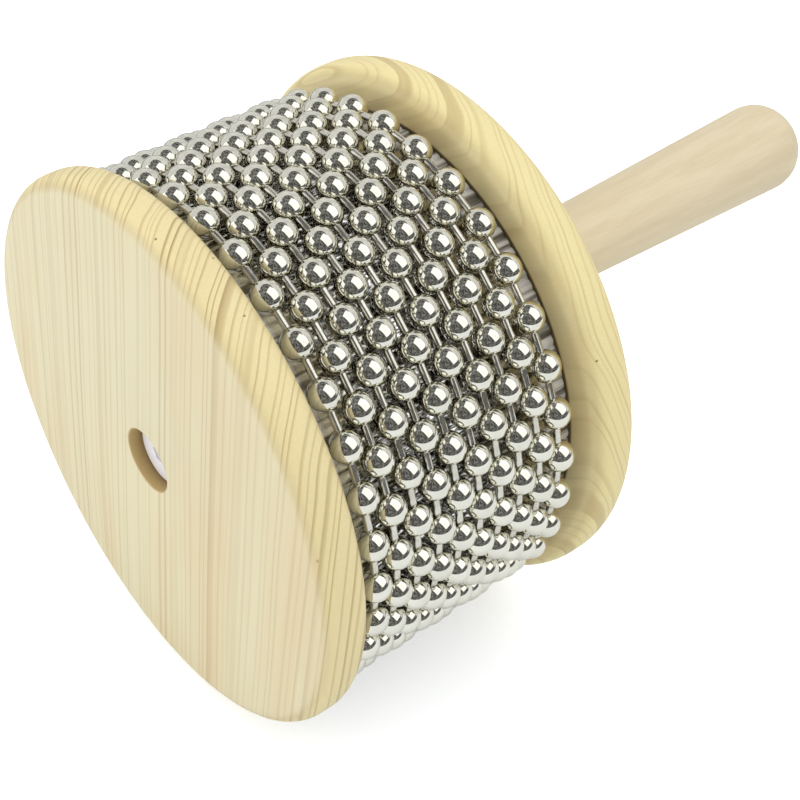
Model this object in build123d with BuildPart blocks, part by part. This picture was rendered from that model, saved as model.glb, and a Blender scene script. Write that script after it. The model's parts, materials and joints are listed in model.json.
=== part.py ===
from build123d import *

import math
import os

# A hand cabasa lying on its side: two wooden discs on a wooden core, a ribbed steel sleeve round
# the core, ten loops of steel ball chain that turn on the sleeve, and a turned wooden handle.
# Millimetres. The drum axis runs along +X, from the front disc to the handle's free end, and the
# origin is on the floor under the middle of the length.

# Discs
disc_diameter = 116.0
disc_thickness = 10.0
disc_edge_radius = 4.0
disc_overhang = 2.4  # rim outside the balls
edge_limit = 0.9  # most of a half thickness that a rounded edge may take

# Ball chain
loop_count = 10
beads_per_loop = 34
bead_diameter = 6.2
bead_seat_diameter = 2.0  # flat on a ball where a pin meets it
pin_diameter = 1.6
nest_gap = 0.72  # between the balls of one loop and those of the next
first_bead_angle = 125.9  # degrees from +Y towards +Z
front_play = 1.3  # between the front disc and the first loop
rear_play = 3.2  # between the last loop and the rear disc

# Sleeve
bead_clearance = 0.3  # between the balls and the crests of the ribs
rib_count = 136
rib_height = 0.35
sleeve_wall = 0.5  # sheet under the grooves
sleeve_seam = 0.6  # slit where the rolled sheet's ends meet, on the underside
sleeve_end_gap = 0.4
sleeve_fit = 0.05

# Handle
handle_length = 110.0
handle_shoulder = 1.45  # step from the tenon to the neck
handle_end_diameter = 22.4
handle_end_radius = 8.6
tenon_reach = 25.0  # length of the tenon inside the core
tenon_wall = 1.6  # wood round the insert
tenon_chamfer = 0.8
tenon_fit = 0.1
socket_spare = 1.0  # room between the tenon's end and the core

# Bolt, washer and threaded insert
bolt_diameter = 6.0
bolt_clearance = 0.4
bolt_head_diameter = 12.7
bolt_head_height = 2.4
bolt_head_chamfer = 0.3
hex_width = 4.0  # key size, across the flats
hex_depth = 2.6
washer_margin = 0.2  # washer outside the bolt head
washer_thickness = 1.6
recess_clearance = 0.2
recess_floor = 3.2  # wood under the washer
insert_wall = 1.75
insert_length = 15.0
insert_fit = 0.05
thread_fit = 0.05
bore_spare = 3.0  # bore behind the insert

# Chain geometry: the balls of a loop stand on a circle, and a pin bridges each pair along the chord
disc_radius = disc_diameter / 2
bead_radius = bead_diameter / 2
pin_radius = pin_diameter / 2
chain_radius = disc_radius - disc_overhang - bead_radius
half_step = math.pi / beads_per_loop
bead_spacing = 2 * chain_radius * math.sin(half_step)
seat_distance = math.sqrt(bead_radius**2 - (bead_seat_diameter / 2) ** 2)
pin_length = bead_spacing - 2 * seat_distance
pin_circle_radius = chain_radius * math.cos(half_step)

# Neighbouring loops are turned by half a step, so each ball nests between two of the next loop
nest_square = (bead_diameter + nest_gap) ** 2 - (bead_spacing / 2) ** 2
clear_of_pins = bead_radius + pin_radius + nest_gap
loop_pitch = max(math.sqrt(max(nest_square, 0)), clear_of_pins)
drum_length = front_play + bead_diameter + (loop_count - 1) * loop_pitch + rear_play

# Radii inside the chains
crest_radius = chain_radius - bead_radius - bead_clearance
groove_radius = crest_radius - rib_height
sleeve_inner_radius = groove_radius - sleeve_wall
core_radius = sleeve_inner_radius - sleeve_fit

# Radii from the bolt outwards to the handle's neck
bolt_radius = bolt_diameter / 2
insert_radius = bolt_radius + insert_wall
tenon_radius = insert_radius + tenon_wall
neck_radius = tenon_radius + handle_shoulder
handle_end_half = handle_end_diameter / 2
bolt_hole_radius = bolt_radius + bolt_clearance
bolt_head_radius = bolt_head_diameter / 2
washer_radius = bolt_head_radius + washer_margin
recess_radius = washer_radius + recess_clearance

# Distances behind the front face
recess_depth = disc_thickness - recess_floor
washer_at = recess_depth - washer_thickness
bolt_head_at = washer_at - bolt_head_height
core_at = disc_thickness
rear_disc_at = core_at + drum_length
shoulder_at = rear_disc_at + disc_thickness
tenon_at = rear_disc_at - tenon_reach
overall_length = shoulder_at + handle_length
first_loop_at = core_at + front_play + bead_radius

tenon_length = shoulder_at - tenon_at
bolt_length = tenon_at + insert_length - washer_at
front_x = -overall_length / 2
axis_height = disc_radius
drum_axis = Axis((0, 0, axis_height), (1, 0, 0))
ahead = (Align.CENTER, Align.CENTER, Align.MIN)
behind = (Align.CENTER, Align.CENTER, Align.MAX)


def across(distance):
    """Plane square to the drum axis, facing +X, at a distance behind the front face."""
    return Plane((front_x + distance, 0, axis_height), x_dir=(0, 1, 0), z_dir=(1, 0, 0))


def facing_front(distance):
    """The same plane turned to face -X, for holes drilled from the front."""
    return Plane((front_x + distance, 0, axis_height), x_dir=(0, -1, 0), z_dir=(-1, 0, 0))


def along(distance):
    """Upright plane through the drum axis, with x along the axis and y away from it."""
    return Plane((front_x + distance, 0, axis_height), x_dir=(1, 0, 0), z_dir=(0, -1, 0))


def save(part, name):
    """Label a finished piece and write it."""
    part.label = name
    export_step(part, f"parts/{name}.step")


os.makedirs("parts", exist_ok=True)

# Discs: rounded over on both edges. The front one is counterbored for the bolt, and the rear
# one is bored for the handle's tenon.
disc_round = min(disc_edge_radius, edge_limit * disc_thickness / 2)

with BuildPart(facing_front(0)) as front_disc:
    Cylinder(disc_radius, disc_thickness, align=behind)
    fillet(front_disc.edges().filter_by(GeomType.CIRCLE), disc_round)
    CounterBoreHole(bolt_hole_radius, recess_radius, recess_depth, disc_thickness)
save(front_disc.part, "front_disc")

with BuildPart(across(rear_disc_at)) as rear_disc:
    Cylinder(disc_radius, disc_thickness, align=ahead)
    fillet(rear_disc.edges().filter_by(GeomType.CIRCLE), disc_round)
    Hole(tenon_radius + tenon_fit)
save(rear_disc.part, "rear_disc")

# Core: carries both discs, with a bolt hole from the front and the tenon's socket at the rear
with BuildPart(across(rear_disc_at)) as drum_core:
    Cylinder(core_radius, drum_length, align=behind)
    CounterBoreHole(
        bolt_hole_radius, tenon_radius + tenon_fit, tenon_reach + socket_spare, drum_length
    )
save(drum_core.part, "drum_core")

# Sleeve: sheet rolled round the core, with a rounded rib for every step of its outline and a
# slit on the underside where its two ends meet.
seam_half = sleeve_seam / 2 / crest_radius
rib_step = (2 * math.pi - 2 * seam_half) / rib_count
seam_start = seam_half - math.pi / 2
seam_end = seam_start + rib_count * rib_step


def polar(radius, angle):
    """Point of the sleeve's section, with its angle in radians from +Y towards +Z."""
    return (radius * math.cos(angle), radius * math.sin(angle))


with BuildPart() as steel_sleeve:
    with BuildSketch(across(core_at + sleeve_end_gap)):
        with BuildLine():
            for rib in range(rib_count):
                angle = seam_start + rib * rib_step
                ThreePointArc(
                    polar(groove_radius, angle),
                    polar(crest_radius, angle + rib_step / 2),
                    polar(groove_radius, angle + rib_step),
                )
            Line(polar(groove_radius, seam_end), polar(sleeve_inner_radius, seam_end))
            ThreePointArc(
                polar(sleeve_inner_radius, seam_end),
                polar(sleeve_inner_radius, math.pi / 2),
                polar(sleeve_inner_radius, seam_start),
            )
            Line(polar(sleeve_inner_radius, seam_start), polar(groove_radius, seam_start))
        make_face()
    extrude(amount=drum_length - 2 * sleeve_end_gap)
save(steel_sleeve.part, "steel_sleeve")

# Handle: tenon, shoulder on the rear disc, then a straight taper that widens to a rounded end
with BuildPart() as handle:
    with BuildSketch(along(shoulder_at)):
        with BuildLine():
            Polyline(
                (-tenon_length, 0),
                (-tenon_length, tenon_radius),
                (0, tenon_radius),
                (0, neck_radius),
                (handle_length, handle_end_half),
                (handle_length, 0),
                close=True,
            )
        make_face()
    revolve(axis=drum_axis)
    rings = handle.edges().filter_by(GeomType.CIRCLE).sort_by(Axis.X)
    chamfer(rings[0], tenon_chamfer)
    fillet(rings[-1], min(handle_end_radius, edge_limit * handle_end_half))
    with Locations(facing_front(tenon_at)):
        Hole(insert_radius + insert_fit, insert_length + bore_spare)
save(handle.part, "handle")

# Threaded insert: a bush flush with the tenon's end, as long as the bolt's grip in it
with BuildPart(across(tenon_at)) as handle_insert:
    Cylinder(insert_radius, insert_length, align=ahead)
    Hole(bolt_radius + thread_fit)
save(handle_insert.part, "handle_insert")

# Bolt: broad flat head with a hexagon socket, and a shank that ends level with the insert
with BuildPart(across(bolt_head_at)) as through_bolt:
    Cylinder(bolt_head_radius, bolt_head_height, align=ahead)
    chamfer(through_bolt.edges().filter_by(GeomType.CIRCLE).sort_by(Axis.X)[0], bolt_head_chamfer)
    with Locations((0, 0, bolt_head_height)):
        Cylinder(bolt_radius, bolt_length, align=ahead)
    with BuildSketch(across(bolt_head_at)):
        RegularPolygon(hex_width / 2, 6, major_radius=False)
    extrude(amount=hex_depth, mode=Mode.SUBTRACT)
save(through_bolt.part, "through_bolt")

with BuildPart(across(washer_at)) as bolt_washer:
    Cylinder(washer_radius, washer_thickness, align=ahead)
    Hole(bolt_hole_radius)
save(bolt_washer.part, "bolt_washer")

# One ball: x points away from the drum axis and y along the loop. Each flat faces the next ball.
with BuildPart() as bead:
    Sphere(bead_radius)
    for side in (1, -1):
        toward_next = Vector(-math.sin(half_step), side * math.cos(half_step), 0)
        split(bisect_by=Plane(toward_next * seat_distance, z_dir=toward_next), keep=Keep.BOTTOM)

# Loops: closed rings of balls with a pin from flat to flat
for loop in range(loop_count):
    loop_plane = across(first_loop_at + loop * loop_pitch)
    turn = first_bead_angle + (loop % 2) * math.degrees(half_step)

    with BuildPart(loop_plane) as beads:
        with PolarLocations(chain_radius, beads_per_loop, start_angle=turn):
            add(bead.part)
    save(beads.part, f"beads_{loop + 1:02d}")

    with BuildPart(loop_plane) as pins:
        with PolarLocations(
            pin_circle_radius, beads_per_loop, start_angle=turn + math.degrees(half_step)
        ):
            Cylinder(pin_radius, pin_length, rotation=(90, 0, 0))
    save(pins.part, f"pins_{loop + 1:02d}")
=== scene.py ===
import json
import math

import bmesh
import bpy
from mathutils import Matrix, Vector

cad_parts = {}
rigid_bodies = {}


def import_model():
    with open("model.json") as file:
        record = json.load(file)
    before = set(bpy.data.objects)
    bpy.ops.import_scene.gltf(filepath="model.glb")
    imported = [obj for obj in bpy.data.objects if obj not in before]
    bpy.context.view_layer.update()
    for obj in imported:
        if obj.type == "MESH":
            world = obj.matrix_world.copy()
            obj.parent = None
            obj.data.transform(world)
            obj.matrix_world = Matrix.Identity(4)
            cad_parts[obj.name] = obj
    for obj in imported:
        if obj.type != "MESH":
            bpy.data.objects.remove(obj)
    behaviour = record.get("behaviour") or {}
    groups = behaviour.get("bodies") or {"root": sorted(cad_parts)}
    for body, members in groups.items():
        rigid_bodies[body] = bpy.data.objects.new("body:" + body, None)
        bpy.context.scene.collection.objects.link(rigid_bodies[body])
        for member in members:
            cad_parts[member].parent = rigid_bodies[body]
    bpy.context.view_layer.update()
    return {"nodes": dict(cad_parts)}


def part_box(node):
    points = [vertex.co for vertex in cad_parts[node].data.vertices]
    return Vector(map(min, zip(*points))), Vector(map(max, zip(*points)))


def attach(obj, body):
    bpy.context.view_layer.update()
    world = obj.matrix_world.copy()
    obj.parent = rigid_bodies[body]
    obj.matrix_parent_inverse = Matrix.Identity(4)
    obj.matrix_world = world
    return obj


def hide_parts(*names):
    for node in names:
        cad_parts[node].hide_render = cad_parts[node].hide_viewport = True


# A hand cabasa lying on its side on a white table, seen from the front disc's side and from above.
# The drum axis runs along X at the height of a disc's radius. Metres throughout.
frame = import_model()

# Drum core: a turned block of plain softwood that carries both discs and holds the handle's tenon.
# It is turned without a finish, and shows only in the narrow gaps at the sleeve's two ends.
MM = 0.001
AXIS_HEIGHT = 58 * MM


def linear(hex_colour):
    """An sRGB hex colour as the linear RGBA that a colour socket takes."""
    channels = [int(hex_colour[at:at + 2], 16) / 255 for at in (1, 3, 5)]
    return [c / 12.92 if c <= 0.04045 else ((c + 0.055) / 1.055) ** 2.4 for c in channels] + [1.0]


def add_node(tree, kind, inputs, **settings):
    """Add a node with its settings, and give each named or numbered input a value or a link."""
    node = tree.nodes.new(kind)
    for name, value in settings.items():
        setattr(node, name, value)
    for name, value in inputs.items():
        if isinstance(value, bpy.types.NodeSocket):
            tree.links.new(value, node.inputs[name])
        else:
            node.inputs[name].default_value = value
    return node


def dress(piece, material):
    """Give a piece its one material."""
    piece.data.materials.clear()
    piece.data.materials.append(material)


# Raw softwood, turned: dull and straw brown, with close grain along the drum axis.
raw_softwood = bpy.data.materials.new("raw_softwood_turned")
raw_softwood.use_nodes = True
tree = raw_softwood.node_tree
shader = tree.nodes["Principled BSDF"]
place = add_node(tree, "ShaderNodeTexCoord", {})
# Fibres about 1 mm wide and 17 mm long
fibres = add_node(
    tree, "ShaderNodeMapping", {"Vector": place.outputs["Object"], "Scale": (60, 900, 900)}
)
grain = add_node(
    tree, "ShaderNodeTexNoise", {"Vector": fibres.outputs[0], "Scale": 1.0, "Detail": 4.0}
)
colour = add_node(
    tree, "ShaderNodeMix",
    {0: grain.outputs["Fac"], 6: linear("#B58F58"), 7: linear("#DCC08C")},
    data_type="RGBA",
)
tree.links.new(colour.outputs[2], shader.inputs["Base Color"])
relief = add_node(
    tree, "ShaderNodeBump", {"Height": grain.outputs["Fac"], "Strength": 0.3, "Distance": 0.1 * MM}
)
tree.links.new(relief.outputs[0], shader.inputs["Normal"])
shader.inputs["Roughness"].default_value = 0.7
dress(frame["nodes"]["drum_core"], raw_softwood)

# Steel sleeve: a bright steel sheet with pressed ribs along the axis, rolled round the core.
# Its two ends meet in a narrow slit on the underside, which the balls hide.
RIBS = 136
POINTS_PER_RIB = 6
RIB_POWER = 0.8  # under 1 for a rib with a rounder top than a sine wave
SAME_PHASE = 0.02  # share of a rib within which a point counts as on the wanted line
SHEET_WALL = 0.45 * MM
CREST_RADIUS = 49.1 * MM
GROOVE_RADIUS = 48.76 * MM
SEAM_HALF_ANGLE = 0.0066  # radians from straight down, within which the sheet is left out
sleeve_low, sleeve_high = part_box("steel_sleeve")


def edit(piece):
    """Open one piece for editing with nothing selected."""
    bpy.ops.object.select_all(action="DESELECT")
    piece.select_set(True)
    bpy.context.view_layer.objects.active = piece
    bpy.ops.object.mode_set(mode="EDIT")
    bpy.ops.mesh.select_all(action="DESELECT")


def pick(piece, kind, wanted):
    """Select the vertices, edges or faces of the open piece that pass a test, and nothing else."""
    bpy.ops.mesh.select_mode(type=kind)
    bpy.ops.mesh.select_all(action="DESELECT")
    mesh = bmesh.from_edit_mesh(piece.data)
    for element in {"VERT": mesh.verts, "EDGE": mesh.edges, "FACE": mesh.faces}[kind]:
        element.select_set(wanted(element))
    mesh.select_flush_mode()
    bmesh.update_edit_mesh(piece.data)


def close(angle=30):
    """Close the open piece, put its place into its mesh, and smooth it except at sharp edges."""
    bpy.ops.object.mode_set(mode="OBJECT")
    bpy.ops.object.transform_apply(location=True, rotation=True, scale=True)
    bpy.ops.object.shade_smooth_by_angle(angle=math.radians(angle))


def from_axis(point):
    """Distance of a point from the drum axis."""
    return math.hypot(point.y, point.z - AXIS_HEIGHT)


def around(point):
    """Angle of a point round the drum axis, from +Y towards +Z."""
    return math.atan2(point.z - AXIS_HEIGHT, point.y)


bpy.ops.object.select_all(action="DESELECT")
bpy.ops.mesh.primitive_circle_add(
    vertices=RIBS * POINTS_PER_RIB, radius=GROOVE_RADIUS,
    location=(sleeve_low.x, 0, AXIS_HEIGHT), rotation=(0, math.pi / 2, 0),
)
sleeve = bpy.context.object
sleeve.name = "ribbed_steel_sleeve"
bpy.ops.object.transform_apply(location=True, rotation=True)
edit(sleeve)
rib_step = 2 * math.pi / RIBS
for point in range(1, POINTS_PER_RIB):
    phase = point / POINTS_PER_RIB
    rise = math.sin(math.pi * phase) ** RIB_POWER
    radius = GROOVE_RADIUS + (CREST_RADIUS - GROOVE_RADIUS) * rise
    pick(
        sleeve, "VERT",
        lambda v: abs((around(v.co) / rib_step - phase + 0.5) % 1 - 0.5) < SAME_PHASE,
    )
    grow = radius / GROOVE_RADIUS
    bpy.ops.transform.resize(value=(1, grow, grow), center_override=(0, 0, AXIS_HEIGHT))
bpy.ops.mesh.select_all(action="SELECT")
bpy.ops.mesh.extrude_region_move(
    TRANSFORM_OT_translate={"value": (sleeve_high.x - sleeve_low.x, 0, 0)}
)
pick(
    sleeve, "FACE",
    lambda f: abs(around(f.calc_center_median()) + math.pi / 2) < SEAM_HALF_ANGLE,
)
bpy.ops.mesh.delete(type="FACE")
bpy.ops.mesh.select_all(action="SELECT")
bpy.ops.mesh.normals_make_consistent(inside=False)
close(50)
wall = sleeve.modifiers.new("sheet", "SOLIDIFY")
wall.thickness = SHEET_WALL
wall.offset = -1
bpy.ops.object.modifier_apply(modifier=wall.name)

# Bright rolled steel: a mirror where the balls rub it, with pale rolling streaks in its colour. On
# the free strips beside the two discs it is nearly matt, so those streaks show as painted
# highlights standing in for the softbox's reflection in the ribs.
FRONT_STRIP = 3.5 * MM
REAR_STRIP = 6 * MM
bright_steel = bpy.data.materials.new("bright_steel_rolled")
bright_steel.use_nodes = True
tree = bright_steel.node_tree
shader = tree.nodes["Principled BSDF"]
place = add_node(tree, "ShaderNodeTexCoord", {})
# Streaks about 2 mm wide and 40 mm long
streaks = add_node(
    tree, "ShaderNodeMapping", {"Vector": place.outputs["Object"], "Scale": (25, 550, 550)}
)
marks = add_node(
    tree, "ShaderNodeTexNoise", {"Vector": streaks.outputs[0], "Scale": 1.0, "Detail": 3.0}
)
bands = add_node(
    tree, "ShaderNodeMapRange", {"Value": marks.outputs["Fac"], "From Min": 0.38, "From Max": 0.56},
    interpolation_type="SMOOTHSTEP",
)
colour = add_node(
    tree, "ShaderNodeMix",
    {0: bands.outputs[0], 6: linear("#7C7870"), 7: linear("#FFFFFF")},
    data_type="RGBA",
)
rubbed_from = sleeve_low.x + FRONT_STRIP
rubbed_to = sleeve_high.x - REAR_STRIP
along = add_node(tree, "ShaderNodeSeparateXYZ", {0: place.outputs["Object"]})
offset = add_node(
    tree, "ShaderNodeMath", {0: along.outputs["X"], 1: (rubbed_from + rubbed_to) / 2},
    operation="SUBTRACT",
)
offset = add_node(tree, "ShaderNodeMath", {0: offset.outputs[0]}, operation="ABSOLUTE")
half_rubbed = (rubbed_to - rubbed_from) / 2
# The free strips, where the nearly matt steel shows its streaks as painted highlights
painted_highlight_strips = add_node(
    tree, "ShaderNodeMapRange",
    {"Value": offset.outputs[0], "From Min": half_rubbed, "From Max": half_rubbed + MM},
)
metal = add_node(
    tree, "ShaderNodeMapRange", {"Value": painted_highlight_strips.outputs[0], "To Min": 1.0, "To Max": 0.1}
)
gloss = add_node(
    tree, "ShaderNodeMapRange", {"Value": painted_highlight_strips.outputs[0], "To Min": 0.16, "To Max": 0.32}
)
tree.links.new(colour.outputs[2], shader.inputs["Base Color"])
tree.links.new(metal.outputs[0], shader.inputs["Metallic"])
tree.links.new(gloss.outputs[0], shader.inputs["Roughness"])
dress(sleeve, bright_steel)
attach(sleeve, "drum")
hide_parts("steel_sleeve")

# Front disc: sawn from a pine board with the grain near upright, rounded over on both edges and
# sanded. A flat-bottomed recess in the middle sinks the bolt head and its washer.
DISC_SIDES = 192
DISC_ROUND = 4 * MM
EDGE_STRIP = 0.5 * MM
RECESS_RADIUS = 6.75 * MM
RECESS_DEPTH = 6.8 * MM
BOLT_HOLE_RADIUS = 3.4 * MM
MOUTH_ROUND = 0.35 * MM
TOUCH = 0.01 * MM  # how close counts as the same place along the axis
NEAR = 0.1 * MM  # how close counts as the same radius or the same end
FACING = 0.99  # how square to the axis a flat face is


def rounded_disc(name, low, high):
    """A disc on the drum axis with both edges rounded over, left open for editing."""
    radius = (high.z - low.z) / 2
    bpy.ops.object.select_all(action="DESELECT")
    bpy.ops.mesh.primitive_cylinder_add(
        vertices=DISC_SIDES, radius=radius, depth=high.x - low.x, end_fill_type="NGON",
        location=((low.x + high.x) / 2, 0, AXIS_HEIGHT), rotation=(0, math.pi / 2, 0),
    )
    disc = bpy.context.object
    disc.name = name
    bpy.ops.object.transform_apply(location=True, rotation=True)
    edit(disc)
    pick(disc, "EDGE", lambda e: abs(e.verts[0].co.x - e.verts[1].co.x) < NEAR)
    bpy.ops.mesh.bevel(offset=DISC_ROUND, segments=8, affect="EDGES", clamp_overlap=False)
    return disc


def bore(disc, side, radius, depth=0):
    """Narrow the flat cap on one side (-1 front, 1 rear) to a round mouth, and sink it if asked."""
    pick(disc, "FACE", lambda f: f.normal.x * side > FACING and len(f.verts) == DISC_SIDES)
    mesh = bmesh.from_edit_mesh(disc.data)
    cap = next(f for f in mesh.faces if f.select)
    reach = from_axis(cap.verts[0].co)
    if reach > 2 * radius:
        bpy.ops.mesh.inset(thickness=EDGE_STRIP)
        reach -= EDGE_STRIP
    bpy.ops.mesh.inset(thickness=reach - radius)
    if depth:
        bpy.ops.mesh.extrude_region_move(TRANSFORM_OT_translate={"value": (-side * depth, 0, 0)})


def join_bores(disc):
    """Take out the two small caps that are left and join their rims with the wall of a hole."""
    pick(disc, "FACE", lambda f: len(f.verts) == DISC_SIDES)
    bpy.ops.mesh.delete(type="FACE")
    pick(disc, "EDGE", lambda e: e.is_boundary)
    bpy.ops.mesh.bridge_edge_loops()


def round_mouth(disc, radius, x):
    """Break the sharp edge of a hole's mouth."""

    def on_mouth(point):
        return abs(point.x - x) < TOUCH and abs(from_axis(point) - radius) < NEAR

    pick(disc, "EDGE", lambda e: all(on_mouth(v.co) for v in e.verts))
    bpy.ops.mesh.bevel(offset=MOUTH_ROUND, segments=3, affect="EDGES")


front_low, front_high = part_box("front_disc")
front_disc = rounded_disc("front_pine_disc", front_low, front_high)
bore(front_disc, -1, RECESS_RADIUS, RECESS_DEPTH)
bore(front_disc, -1, BOLT_HOLE_RADIUS)
bore(front_disc, 1, BOLT_HOLE_RADIUS)
join_bores(front_disc)
round_mouth(front_disc, RECESS_RADIUS, front_low.x)
close()

# Where the look of a disc changes, in millimetres from the drum axis or under the outer face
RIM_FROM, RIM_TO = 54.8, 57.2
# The band at the start of the rim is partly burnish and partly painted shade
BURNISH_SHADE_AT, BURNISH_SHADE_WIDTH = 56.2, 1.4
BORE_WALL, BORE_EDGE = 6.8, 7.1
# Depth over which the painted shade in the bore deepens
RECESS_SHADE_DEPTH = 4.0
# Radii of the painted shadow ring where the drum meets a disc's inner face
GAP_SHADOW_FROM, GAP_SHADOW_TO = 49.2, 49.7
INNER_DEPTH = 9.5


def sanded_pine(name, colours, outer_x, pith, lean, spacing, on_face, on_rim):
    """Pine as a solid texture: growth rings round a pith line, and fibres along it.

    The rings show as brown lines, faint on the sanded faces and sharp on the turned rim, which
    has also yellowed. The colours are spring wood, a warmer board streak, summer wood, rim, resin.
    The spacing is the mean width of a ring in millimetres.
    """
    spring, warm, late, rim, resin = [linear(hex_colour) for hex_colour in colours]
    material = bpy.data.materials.new(name)
    material.use_nodes = True
    tree = material.node_tree
    shader = tree.nodes["Principled BSDF"]
    place = add_node(tree, "ShaderNodeTexCoord", {})
    # Millimetres from the pith line, with z along the grain
    log = add_node(
        tree, "ShaderNodeMapping",
        {
            "Vector": place.outputs["Object"], "Location": pith, "Rotation": lean,
            "Scale": (MM, MM, MM),
        },
        vector_type="TEXTURE",
    )
    # The tree didn't grow quite round: 30 mm swells, drawn out along the grain
    stretched = add_node(
        tree, "ShaderNodeMapping", {"Vector": log.outputs[0], "Scale": (1, 1, 0.15)}
    )
    swell = add_node(
        tree, "ShaderNodeTexNoise", {"Vector": stretched.outputs[0], "Scale": 0.03, "Detail": 2.0}
    )
    flat = add_node(
        tree, "ShaderNodeVectorMath", {0: log.outputs[0], 1: (1, 1, 0)}, operation="MULTIPLY"
    )
    radius = add_node(tree, "ShaderNodeVectorMath", {0: flat.outputs[0]}, operation="LENGTH")
    rings = add_node(
        tree, "ShaderNodeMath", {0: radius.outputs["Value"], 1: 1 / spacing}, operation="MULTIPLY"
    )
    rings = add_node(
        tree, "ShaderNodeMath", {0: swell.outputs["Fac"], 1: 4.0, 2: rings.outputs[0]},
        operation="MULTIPLY_ADD",
    )
    # Good and bad years make wide and narrow rings
    weather = add_node(
        tree, "ShaderNodeTexNoise", {"W": rings.outputs[0], "Scale": 0.45, "Detail": 1.0},
        noise_dimensions="1D",
    )
    rings = add_node(
        tree, "ShaderNodeMath", {0: weather.outputs["Fac"], 1: 2.2, 2: rings.outputs[0]},
        operation="MULTIPLY_ADD",
    )
    year = add_node(tree, "ShaderNodeMath", {0: rings.outputs[0]}, operation="FRACT")
    count = add_node(tree, "ShaderNodeMath", {0: rings.outputs[0]}, operation="FLOOR")
    season = add_node(
        tree, "ShaderNodeTexWhiteNoise", {"W": count.outputs[0]}, noise_dimensions="1D"
    )
    # Summer wood darkens slowly and stops short
    slow = add_node(
        tree, "ShaderNodeMapRange",
        {"Value": year.outputs[0], "From Min": 0.55, "From Max": 0.92},
        interpolation_type="SMOOTHSTEP",
    )
    stop = add_node(
        tree, "ShaderNodeMapRange",
        {"Value": year.outputs[0], "From Min": 0.92, "From Max": 1.0, "To Min": 1.0, "To Max": 0.0},
    )
    summer = add_node(
        tree, "ShaderNodeMath", {0: slow.outputs[0], 1: stop.outputs[0]}, operation="MULTIPLY"
    )
    # A few years leave a strong line, most a weak one
    strong = add_node(
        tree, "ShaderNodeMath", {0: season.outputs["Value"], 1: 3.0}, operation="POWER"
    )
    depth = add_node(
        tree, "ShaderNodeMapRange", {"Value": strong.outputs[0], "To Min": 0.4, "To Max": 1.0}
    )
    summer = add_node(
        tree, "ShaderNodeMath", {0: summer.outputs[0], 1: depth.outputs[0]}, operation="MULTIPLY"
    )
    # Distance from the drum axis and depth under the outer face, for the rim, the painted shade in
    # the bore and the painted gap shadow
    hub = add_node(
        tree, "ShaderNodeMapping",
        {
            "Vector": place.outputs["Object"], "Location": (outer_x, 0, AXIS_HEIGHT),
            "Scale": (MM, MM, MM),
        },
        vector_type="TEXTURE",
    )
    under = add_node(tree, "ShaderNodeSeparateXYZ", {0: hub.outputs[0]})
    under = add_node(tree, "ShaderNodeMath", {0: under.outputs["X"]}, operation="ABSOLUTE")
    across = add_node(
        tree, "ShaderNodeVectorMath", {0: hub.outputs[0], 1: (0, 1, 1)}, operation="MULTIPLY"
    )
    reach = add_node(tree, "ShaderNodeVectorMath", {0: across.outputs[0]}, operation="LENGTH")
    at_rim = add_node(
        tree, "ShaderNodeMapRange",
        {"Value": reach.outputs["Value"], "From Min": RIM_FROM, "From Max": RIM_TO},
        interpolation_type="SMOOTHSTEP",
    )
    line = add_node(
        tree, "ShaderNodeMapRange",
        {"Value": at_rim.outputs[0], "To Min": on_face, "To Max": on_rim},
    )
    summer = add_node(
        tree, "ShaderNodeMath", {0: summer.outputs[0], 1: line.outputs[0]}, operation="MULTIPLY"
    )
    # Fibres: streaks about 0.5 mm wide and 50 mm long
    threads = add_node(tree, "ShaderNodeMapping", {"Vector": log.outputs[0], "Scale": (2, 2, 0.02)})
    fibre = add_node(
        tree, "ShaderNodeTexNoise", {"Vector": threads.outputs[0], "Scale": 1.0, "Detail": 3.0}
    )
    # Warmer streaks of the board, 15 mm wide
    cloud = add_node(
        tree, "ShaderNodeMapping", {"Vector": log.outputs[0], "Scale": (0.07, 0.07, 0.012)}
    )
    cloud = add_node(
        tree, "ShaderNodeTexNoise", {"Vector": cloud.outputs[0], "Scale": 1.0, "Detail": 2.0}
    )
    tone = add_node(
        tree, "ShaderNodeMapRange",
        {"Value": cloud.outputs["Fac"], "From Min": 0.4, "From Max": 0.7},
        interpolation_type="SMOOTHSTEP",
    )
    board = add_node(
        tree, "ShaderNodeMix", {0: tone.outputs[0], 6: spring, 7: warm}, data_type="RGBA"
    )
    body = add_node(
        tree, "ShaderNodeMix", {0: at_rim.outputs[0], 6: board.outputs[2], 7: rim}, data_type="RGBA"
    )
    lined = add_node(
        tree, "ShaderNodeMix", {0: summer.outputs[0], 6: body.outputs[2], 7: late}, data_type="RGBA"
    )
    shade = add_node(
        tree, "ShaderNodeMapRange",
        {"Value": fibre.outputs["Fac"], "From Min": 0.3, "From Max": 0.7, "To Max": 0.08},
    )
    streaked = add_node(
        tree, "ShaderNodeMix", {0: shade.outputs[0], 6: lined.outputs[2], 7: late}, data_type="RGBA"
    )
    # A darker band at the start of the rounded edge: partly burnish from the sanding belt, partly
    # painted shade where the face turns into the rim
    edge = add_node(
        tree, "ShaderNodeMath", {0: reach.outputs["Value"], 1: BURNISH_SHADE_AT}, operation="SUBTRACT"
    )
    edge = add_node(tree, "ShaderNodeMath", {0: edge.outputs[0]}, operation="ABSOLUTE")
    burnish_and_shade = add_node(
        tree, "ShaderNodeMapRange",
        {"Value": edge.outputs[0], "From Max": BURNISH_SHADE_WIDTH, "To Min": 0.18, "To Max": 0.0},
        interpolation_type="SMOOTHSTEP",
    )
    edged = add_node(
        tree, "ShaderNodeMix", {0: burnish_and_shade.outputs[0], 6: streaked.outputs[2], 7: late},
        data_type="RGBA",
    )
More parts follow.
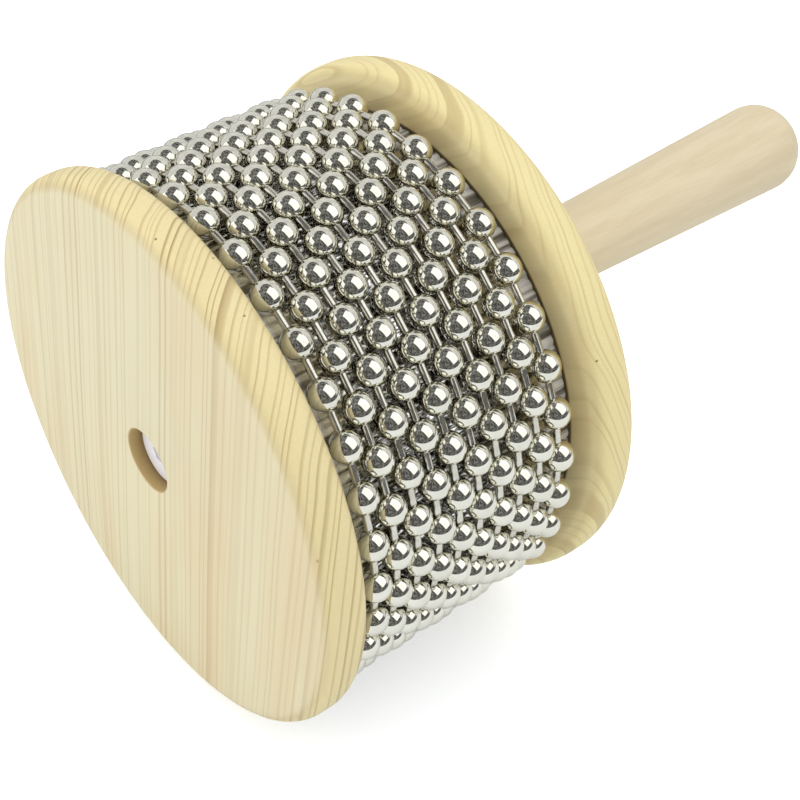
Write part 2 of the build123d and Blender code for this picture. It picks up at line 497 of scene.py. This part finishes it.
    # Resin: a few brown specks under half a millimetre wide on the rim
    cells = add_node(
        tree, "ShaderNodeMapping", {"Vector": log.outputs[0], "Scale": (0.14, 0.14, 0.06)}
    )
    speck = add_node(tree, "ShaderNodeTexVoronoi", {"Vector": cells.outputs[0], "Scale": 1.0})
    near = add_node(
        tree, "ShaderNodeMapRange",
        {
            "Value": speck.outputs["Distance"], "From Min": 0.02, "From Max": 0.04,
            "To Min": 0.8, "To Max": 0.0,
        },
    )
    inked = add_node(
        tree, "ShaderNodeMath", {0: near.outputs[0], 1: at_rim.outputs[0]}, operation="MULTIPLY"
    )
    specked = add_node(
        tree, "ShaderNodeMix", {0: inked.outputs[0], 6: edged.outputs[2], 7: resin},
        data_type="RGBA",
    )
    # Painted shade in the bore: its wall is painted darker and browner, more so with depth
    recess_shade = add_node(
        tree, "ShaderNodeMapRange", {"Value": under.outputs[0], "From Max": RECESS_SHADE_DEPTH}
    )
    wall = add_node(
        tree, "ShaderNodeMix", {0: recess_shade.outputs[0], 6: linear("#C2A468"), 7: linear("#7E5C24")},
        data_type="RGBA",
    )
    shaded_bore_wall = add_node(
        tree, "ShaderNodeMapRange",
        {
            "Value": reach.outputs["Value"], "From Min": BORE_WALL, "From Max": BORE_EDGE,
            "To Min": 0.9, "To Max": 0.0,
        },
    )
    bored = add_node(
        tree, "ShaderNodeMix", {0: shaded_bore_wall.outputs[0], 6: specked.outputs[2], 7: wall.outputs[2]},
        data_type="RGBA",
    )
    # A dark ring painted on the inner face where the drum meets it: painted shadow of the narrow
    # gap at the sleeve's end
    outside = add_node(
        tree, "ShaderNodeMapRange",
        {
            "Value": reach.outputs["Value"], "From Min": GAP_SHADOW_FROM, "From Max": GAP_SHADOW_TO,
            "To Min": 0.85, "To Max": 0.0,
        },
    )
    inner = add_node(
        tree, "ShaderNodeMath", {0: under.outputs[0], 1: INNER_DEPTH}, operation="GREATER_THAN"
    )
    gap_shadow = add_node(
        tree, "ShaderNodeMath", {0: outside.outputs[0], 1: inner.outputs[0]}, operation="MULTIPLY"
    )
    finish = add_node(
        tree, "ShaderNodeMix", {0: gap_shadow.outputs[0], 6: bored.outputs[2], 7: linear("#3E3018")},
        data_type="RGBA",
    )
    tree.links.new(finish.outputs[2], shader.inputs["Base Color"])
    gloss = add_node(
        tree, "ShaderNodeMapRange", {"Value": fibre.outputs["Fac"], "To Min": 0.42, "To Max": 0.58}
    )
    tree.links.new(gloss.outputs[0], shader.inputs["Roughness"])
    relief = add_node(
        tree, "ShaderNodeBump",
        {"Height": fibre.outputs["Fac"], "Strength": 0.25, "Distance": 0.05 * MM},
    )
    tree.links.new(relief.outputs[0], shader.inputs["Normal"])
    return material


front_pine = sanded_pine(
    "pine_sanded_pale", ("#E3DAB5", "#E2D1A8", "#A5874F", "#E9D9A3", "#64431A"),
    outer_x=front_low.x, pith=(front_low.x + 165 * MM, -193 * MM, AXIS_HEIGHT),
    lean=(math.radians(8), 0, 0), spacing=1.6, on_face=0.45, on_rim=0.95,
)
dress(front_disc, front_pine)
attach(front_disc, "drum")
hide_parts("front_disc")

# Rear disc: a second pine disc of the same size, cut from a yellower board. It is bored through for
# the handle's tenon and closes the drum behind the last loop of balls.
TENON_HOLE_RADIUS = 6.45 * MM
rear_low, rear_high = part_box("rear_disc")
rear_disc = rounded_disc("rear_pine_disc", rear_low, rear_high)
bore(rear_disc, -1, TENON_HOLE_RADIUS)
bore(rear_disc, 1, TENON_HOLE_RADIUS)
join_bores(rear_disc)
close()
rear_pine = sanded_pine(
    "pine_sanded_yellow", ("#E9DAA6", "#E6D198", "#A98A52", "#ECDDA2", "#64431A"),
    outer_x=rear_high.x, pith=(rear_low.x + 75 * MM, 0, AXIS_HEIGHT),
    lean=(math.radians(55), 0, 0), spacing=1.5, on_face=0.3, on_rim=0.55,
)
dress(rear_disc, rear_pine)
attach(rear_disc, "drum")
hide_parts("rear_disc")

# Handle: turned in one piece from beech, thin at the neck and thick at its rounded end. Its tenon
# passes through the rear disc into the core, and is bored for a threaded brass insert.
HANDLE_SIDES = 96
HANDLE_LENGTH = 110 * MM
NECK_RADIUS = 7.8 * MM
END_RADIUS = 11.2 * MM
END_ROUND = 8.6 * MM
TENON_RADIUS = 6.35 * MM
TENON_CHAMFER = 0.8 * MM
INSERT_BORE = 4.8 * MM
INSERT_BORE_DEPTH = 18 * MM
handle_low, handle_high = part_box("handle")
shoulder_x = handle_high.x - HANDLE_LENGTH
bpy.ops.object.select_all(action="DESELECT")
bpy.ops.mesh.primitive_cone_add(
    vertices=HANDLE_SIDES, radius1=NECK_RADIUS, radius2=END_RADIUS, depth=HANDLE_LENGTH,
    end_fill_type="NGON", location=(shoulder_x + HANDLE_LENGTH / 2, 0, AXIS_HEIGHT),
    rotation=(0, math.pi / 2, 0),
)
handle = bpy.context.object
handle.name = "turned_beech_handle"
bpy.ops.object.transform_apply(location=True, rotation=True)
edit(handle)
pick(handle, "EDGE", lambda e: all(abs(v.co.x - handle_high.x) < TOUCH for v in e.verts))
bpy.ops.mesh.bevel(offset=END_ROUND, segments=10, affect="EDGES", clamp_overlap=False)
pick(handle, "FACE", lambda f: f.normal.x < -FACING)
bpy.ops.mesh.inset(thickness=NECK_RADIUS - TENON_RADIUS)
bpy.ops.mesh.extrude_region_move(
    TRANSFORM_OT_translate={"value": (handle_low.x - shoulder_x, 0, 0)}
)
bpy.ops.mesh.inset(thickness=TENON_RADIUS - INSERT_BORE)
bpy.ops.mesh.extrude_region_move(TRANSFORM_OT_translate={"value": (INSERT_BORE_DEPTH, 0, 0)})


def on_tenon_end(point):
    """Whether a point is on the outer edge of the tenon's end."""
    return abs(point.x - handle_low.x) < TOUCH and abs(from_axis(point) - TENON_RADIUS) < NEAR


pick(handle, "EDGE", lambda e: all(on_tenon_end(v.co) for v in e.verts))
bpy.ops.mesh.bevel(offset=TENON_CHAMFER, segments=1, affect="EDGES")
close()

# Beech, turned and sanded: pale and even, with soft streaks and short dark ray flecks lengthwise.
turned_beech = bpy.data.materials.new("beech_turned_sanded")
turned_beech.use_nodes = True
tree = turned_beech.node_tree
shader = tree.nodes["Principled BSDF"]
place = add_node(tree, "ShaderNodeTexCoord", {})
length = add_node(
    tree, "ShaderNodeMapping", {"Vector": place.outputs["Object"], "Scale": (MM, MM, MM)},
    vector_type="TEXTURE",
)
# Soft bands 3 mm wide and 33 mm long, fibres 0.4 mm wide and 7 mm long
wide = add_node(
    tree, "ShaderNodeMapping", {"Vector": length.outputs[0], "Scale": (0.03, 0.3, 0.3)}
)
band = add_node(
    tree, "ShaderNodeTexNoise", {"Vector": wide.outputs[0], "Scale": 1.0, "Detail": 3.0}
)
fine = add_node(
    tree, "ShaderNodeMapping", {"Vector": length.outputs[0], "Scale": (0.15, 2.5, 2.5)}
)
fibre = add_node(
    tree, "ShaderNodeTexNoise", {"Vector": fine.outputs[0], "Scale": 1.0, "Detail": 3.0}
)
bands = add_node(
    tree, "ShaderNodeMapRange", {"Value": band.outputs["Fac"], "From Min": 0.35, "From Max": 0.65},
    interpolation_type="SMOOTHSTEP",
)
colour = add_node(
    tree, "ShaderNodeMix",
    {0: bands.outputs[0], 6: linear("#E1D2B0"), 7: linear("#DACAA7")},
    data_type="RGBA",
)
shade = add_node(
    tree, "ShaderNodeMapRange",
    {"Value": fibre.outputs["Fac"], "From Min": 0.35, "From Max": 0.7, "To Max": 0.2},
)
streaked = add_node(
    tree, "ShaderNodeMix", {0: shade.outputs[0], 6: colour.outputs[2], 7: linear("#BFAD86")},
    data_type="RGBA",
)
# Flecks 5 mm apart round the handle and four to five times that along it
cells = add_node(tree, "ShaderNodeMapping", {"Vector": length.outputs[0], "Scale": (0.22, 1, 1)})
fleck = add_node(tree, "ShaderNodeTexVoronoi", {"Vector": cells.outputs[0], "Scale": 0.2})
dark = add_node(
    tree, "ShaderNodeMapRange",
    {
        "Value": fleck.outputs["Distance"], "From Min": 0.03, "From Max": 0.06,
        "To Min": 0.6, "To Max": 0.0,
    },
)
finish = add_node(
    tree, "ShaderNodeMix", {0: dark.outputs[0], 6: streaked.outputs[2], 7: linear("#8A7350")},
    data_type="RGBA",
)
tree.links.new(finish.outputs[2], shader.inputs["Base Color"])
gloss = add_node(
    tree, "ShaderNodeMapRange", {"Value": fibre.outputs["Fac"], "To Min": 0.42, "To Max": 0.56}
)
tree.links.new(gloss.outputs[0], shader.inputs["Roughness"])
relief = add_node(
    tree, "ShaderNodeBump", {"Height": fibre.outputs["Fac"], "Strength": 0.2, "Distance": 0.04 * MM}
)
tree.links.new(relief.outputs[0], shader.inputs["Normal"])
dress(handle, turned_beech)
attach(handle, "drum")
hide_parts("handle")

# Threaded insert: a plain brass bush pressed into the tenon, which the bolt screws into.
# It is hidden once the drum is closed, and keeps its lathe marks.


def marked_metal(name, stretch, detail, colours, roughness, metallic=1.0):
    """A metal whose marks shift it between two colours and between smooth and rough.

    The stretch is the number of marks in a metre along each axis.
    """
    material = bpy.data.materials.new(name)
    material.use_nodes = True
    tree = material.node_tree
    shader = tree.nodes["Principled BSDF"]
    place = add_node(tree, "ShaderNodeTexCoord", {})
    scaled = add_node(
        tree, "ShaderNodeMapping", {"Vector": place.outputs["Object"], "Scale": stretch}
    )
    marks = add_node(
        tree, "ShaderNodeTexNoise", {"Vector": scaled.outputs[0], "Scale": 1.0, "Detail": detail}
    )
    colour = add_node(
        tree, "ShaderNodeMix",
        {0: marks.outputs["Fac"], 6: linear(colours[0]), 7: linear(colours[1])},
        data_type="RGBA",
    )
    gloss = add_node(
        tree, "ShaderNodeMapRange",
        {"Value": marks.outputs["Fac"], "To Min": roughness[0], "To Max": roughness[1]},
    )
    tree.links.new(colour.outputs[2], shader.inputs["Base Color"])
    tree.links.new(gloss.outputs[0], shader.inputs["Roughness"])
    shader.inputs["Metallic"].default_value = metallic
    return material


# Turned brass: yellow, with lathe marks 0.25 mm apart round the bush.
lathe_brass = marked_metal(
    "brass_lathe_turned", (4000, 60, 60), 2.0, ("#C9A24E", "#E0BE6E"), (0.22, 0.4)
)
dress(frame["nodes"]["handle_insert"], lathe_brass)

# Bolt and washer: a steel bolt with a broad flat head, sunk in the front disc on a plain washer.
# Both are zinc plated, which leaves a pale, milky grey with clouds of about 1.5 mm.
zinc_plate = marked_metal(
    "zinc_plated_steel", (700, 700, 700), 3.0, ("#EFEDF2", "#FBFAFD"), (0.5, 0.62), metallic=0.3
)
dress(frame["nodes"]["through_bolt"], zinc_plate)
dress(frame["nodes"]["bolt_washer"], zinc_plate)

# Ball loops: ten closed loops of steel ball chain that lie over the sleeve and turn on it. Each
# ball is rolled from sheet, and a short pin runs through a hole in its end into the next ball.
LOOPS = 10
BALLS = 34
BALL_RADIUS = 3.1 * MM
BALL_SIDES = 12
BALL_BANDS = 8
BALL_SHRINK = 0.94  # how much of its radius a ball keeps when subdivision rounds it
PIN_RADIUS = 0.8 * MM
PIN_START = 2.6 * MM  # from the middle of a ball, under its skin
PIN_SIDES = 10
PIN_RIM = 0.2 * MM
CHAIN_RADIUS = 52.5 * MM
FIRST_BALL = math.radians(125.9)
HALF_STEP = math.pi / BALLS
loop_low, loop_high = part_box("beads_01")
loop_x = (loop_low.x + loop_high.x) / 2
last_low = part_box("beads_10")[0]
loop_pitch = (last_low.x - loop_low.x) / (LOOPS - 1)
spacing = 2 * CHAIN_RADIUS * math.sin(HALF_STEP)


def repeat_round():
    """Copy the open ball or pin round the drum axis until the loop closes."""
    bpy.ops.mesh.select_all(action="SELECT")
    bpy.ops.mesh.spin(
        steps=BALLS - 1, angle=2 * math.pi * (BALLS - 1) / BALLS, dupli=True,
        center=(loop_x, 0, AXIS_HEIGHT), axis=(1, 0, 0),
    )


# One ball, with its poles along the chain
bpy.ops.object.select_all(action="DESELECT")
bpy.ops.mesh.primitive_uv_sphere_add(
    segments=BALL_SIDES, ring_count=BALL_BANDS, radius=BALL_RADIUS / BALL_SHRINK,
    location=(
        loop_x, CHAIN_RADIUS * math.cos(FIRST_BALL),
        AXIS_HEIGHT + CHAIN_RADIUS * math.sin(FIRST_BALL),
    ),
    rotation=(FIRST_BALL, 0, 0),
)
balls = bpy.context.object
balls.name = "steel_balls_01"
bpy.ops.object.transform_apply(location=True, rotation=True)
edit(balls)
repeat_round()
close(180)
rounding = balls.modifiers.new("rounding", "SUBSURF")
rounding.levels = rounding.render_levels = 1

# One pin, along the chord from the first ball to the next
mid_angle = FIRST_BALL + HALF_STEP
mid_radius = CHAIN_RADIUS * math.cos(HALF_STEP)
bpy.ops.object.select_all(action="DESELECT")
bpy.ops.mesh.primitive_cylinder_add(
    vertices=PIN_SIDES, radius=PIN_RADIUS, depth=spacing - 2 * PIN_START,
    location=(
        loop_x, mid_radius * math.cos(mid_angle), AXIS_HEIGHT + mid_radius * math.sin(mid_angle)
    ),
    rotation=(mid_angle, 0, 0),
)
pins = bpy.context.object
pins.name = "steel_pins_01"
bpy.ops.object.transform_apply(location=True, rotation=True)
edit(pins)
pick(pins, "FACE", lambda f: len(f.verts) == PIN_SIDES)
bpy.ops.mesh.inset(thickness=PIN_RIM)
repeat_round()
close(40)

# Nickel-plated steel, polished: a clear, slightly warm mirror, dulled in smudges of about 4 mm.
polished_steel = marked_metal(
    "steel_ball_polished", (250, 250, 250), 3.0, ("#DAD8CB", "#F5F3E6"), (0.02, 0.09)
)

# Drawn steel wire: bright, with draw marks of about 1 mm.
drawn_steel = marked_metal(
    "steel_pin_drawn", (900, 900, 900), 2.0, ("#BFBCB1", "#EDEADF"), (0.1, 0.25)
)
dress(balls, polished_steel)
dress(pins, drawn_steel)

for loop in range(2, LOOPS + 1):
    for first in (balls, pins):
        bpy.ops.object.select_all(action="DESELECT")
        first.select_set(True)
        bpy.context.view_layer.objects.active = first
        bpy.ops.object.duplicate(linked=False)
        piece = bpy.context.object
        piece.name = f"{first.name[:-2]}{loop:02d}"
        edit(piece)
        bpy.ops.mesh.select_all(action="SELECT")
        bpy.ops.transform.translate(value=((loop - 1) * loop_pitch, 0, 0))
        if loop % 2 == 0:
            bpy.ops.transform.rotate(
                value=HALF_STEP, orient_axis="X", center_override=(0, 0, AXIS_HEIGHT)
            )
        bpy.ops.object.mode_set(mode="OBJECT")
for loop in range(1, LOOPS + 1):
    for name, node in (("steel_balls", "beads"), ("steel_pins", "pins")):
        piece = bpy.data.objects[f"{name}_{loop:02d}"]
        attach(piece, f"bead_loop_{loop:02d}")
        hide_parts(f"{node}_{loop:02d}")

# Table: a matt white board under the object. It takes the soft shadow, and away from the shadow
# it is as white as the background.
FLOOR_RADIUS = 0.5
FLOOR_LIFT = 0.45  # glow, for the camera alone, that makes the lit board as white as the room
bpy.ops.object.select_all(action="DESELECT")
bpy.ops.mesh.primitive_circle_add(vertices=96, radius=FLOOR_RADIUS, fill_type="NGON")
floor = bpy.context.object
floor.name = "table"
white_board = bpy.data.materials.new("matt_white_board")
white_board.use_nodes = True
tree = white_board.node_tree
shader = tree.nodes["Principled BSDF"]
shader.inputs["Base Color"].default_value = linear("#F1F4F7")
shader.inputs["Roughness"].default_value = 0.9
shader.inputs["Specular IOR Level"].default_value = 0.0
rays = add_node(tree, "ShaderNodeLightPath", {})
shader.inputs["Emission Color"].default_value = (1, 1, 1, 1)
lift = add_node(
    tree, "ShaderNodeMath", {0: rays.outputs["Is Camera Ray"], 1: FLOOR_LIFT}, operation="MULTIPLY"
)
tree.links.new(lift.outputs[0], shader.inputs["Emission Strength"])
dress(floor, white_board)

# Studio: dark room walls, a white backdrop behind the object and a grey ceiling. Only the metal
# shows them: they cast no light, so the woods keep their colours.
ROOM_RADIUS = 3.0
BACKDROP_RADIUS = 1.5
BACKDROP_HEIGHT = 2.1
CEILING_RADIUS = 1.2
CEILING_PLACE = (-0.3, -0.4, 1.6)
AWAY = Vector((0.62, 0.78, 0))  # level direction in which the camera looks


def studio_card(piece, name, dark, light):
    """Paint a studio surface in blotches of two greys, seen only in mirrors."""
    piece.name = name
    paint = bpy.data.materials.new(f"{name}_paint")
    paint.use_nodes = True
    tree = paint.node_tree
    tree.nodes.clear()
    place = add_node(tree, "ShaderNodeTexCoord", {})
    blotch = add_node(
        tree, "ShaderNodeTexNoise", {"Vector": place.outputs["Object"], "Scale": 2.2, "Detail": 3.0}
    )
    grey = add_node(
        tree, "ShaderNodeMapRange",
        {
            "Value": blotch.outputs["Fac"], "From Min": 0.35, "From Max": 0.65,
            "To Min": dark, "To Max": light,
        },
    )
    glow = add_node(tree, "ShaderNodeEmission", {"Strength": grey.outputs[0]})
    add_node(tree, "ShaderNodeOutputMaterial", {"Surface": glow.outputs[0]})
    dress(piece, paint)
    piece.visible_camera = False
    piece.visible_diffuse = False
    piece.visible_shadow = False


bpy.ops.mesh.primitive_uv_sphere_add(segments=48, ring_count=24, radius=ROOM_RADIUS)
studio_card(bpy.context.object, "room_walls", 0.02, 0.26)
bpy.ops.mesh.primitive_cylinder_add(
    vertices=96, radius=BACKDROP_RADIUS, depth=BACKDROP_HEIGHT, end_fill_type="NOTHING",
    location=(0, 0, BACKDROP_HEIGHT / 2),
)
backdrop = bpy.context.object
edit(backdrop)
pick(backdrop, "FACE", lambda f: f.calc_center_median().dot(AWAY) < 0)
bpy.ops.mesh.delete(type="FACE")
bpy.ops.object.mode_set(mode="OBJECT")
studio_card(backdrop, "backdrop", 0.65, 0.85)
bpy.ops.mesh.primitive_circle_add(
    vertices=48, radius=CEILING_RADIUS, fill_type="NGON", location=CEILING_PLACE
)
studio_card(bpy.context.object, "ceiling", 0.03, 0.36)

# Light: an even white room and a soft light overhead for the woods and the table, a large softbox
# above and to the right of the camera that the metal mirrors, and a second one low on the left.
AIM_X = -0.03  # the point on the axis that the lamps face, at the rear of the drum
world = bpy.data.worlds.new("white_room")
bpy.context.scene.world = world
world.use_nodes = True
tree = world.node_tree
tree.nodes.clear()
rays = add_node(tree, "ShaderNodeLightPath", {})
seen = add_node(
    tree, "ShaderNodeMath",
    {0: rays.outputs["Is Camera Ray"], 1: rays.outputs["Is Glossy Ray"]}, operation="MAXIMUM",
)
seen = add_node(
    tree, "ShaderNodeMath", {0: seen.outputs[0], 1: rays.outputs["Is Transmission Ray"]},
    operation="MAXIMUM",
)
level = add_node(
    tree, "ShaderNodeMapRange", {"Value": seen.outputs[0], "To Min": 0.83, "To Max": 1.0}
)
sky = add_node(
    tree, "ShaderNodeBackground", {"Color": (1, 1, 1, 1), "Strength": level.outputs[0]}
)
add_node(tree, "ShaderNodeOutputWorld", {"Surface": sky.outputs[0]})


def softbox(name, direction, distance, size, brightness, on_matt=True, in_mirrors=True):
    """A rectangular lamp that faces the drum, with its long side upright as seen from the drum."""
    target = Vector((AIM_X, 0, AXIS_HEIGHT))
    lamp = bpy.data.lights.new(name, "AREA")
    lamp.shape = "RECTANGLE"
    lamp.size, lamp.size_y = size
    lamp.energy = brightness * math.pi * size[0] * size[1]
    holder = bpy.data.objects.new(name, lamp)
    bpy.context.scene.collection.objects.link(holder)
    towards = Vector(direction).normalized()
    holder.location = target + distance * towards
    holder.rotation_euler = towards.to_track_quat("Z", "Y").to_euler()
    holder.visible_diffuse = on_matt
    holder.visible_glossy = in_mirrors


softbox("main_softbox", (0.3, -0.58, 0.76), 0.6, (0.56, 0.8), 1.15, on_matt=False)
softbox("left_softbox", (-0.90, 0.32, 0.27), 0.6, (0.42, 0.6), 1.0)
softbox("overhead", (0.1, -0.2, 1.0), 0.9, (0.9, 0.9), 0.98, in_mirrors=False)

# Camera: above and to the left of the front disc, framed as in the photograph by the lens shift.
camera_data = bpy.data.cameras.new("camera")
camera_data.sensor_width = 36
camera_data.lens = 70.883
camera_data.shift_x = 0.0553
camera_data.shift_y = -0.1154
camera = bpy.data.objects.new("camera", camera_data)
camera.location = (-0.19572, -0.19609, 0.27252)
camera.rotation_euler = (math.radians(50.99), 0, math.radians(-38.22))
bpy.context.scene.collection.objects.link(camera)
bpy.context.scene.camera = camera
bpy.context.scene.view_settings.view_transform = "Standard"
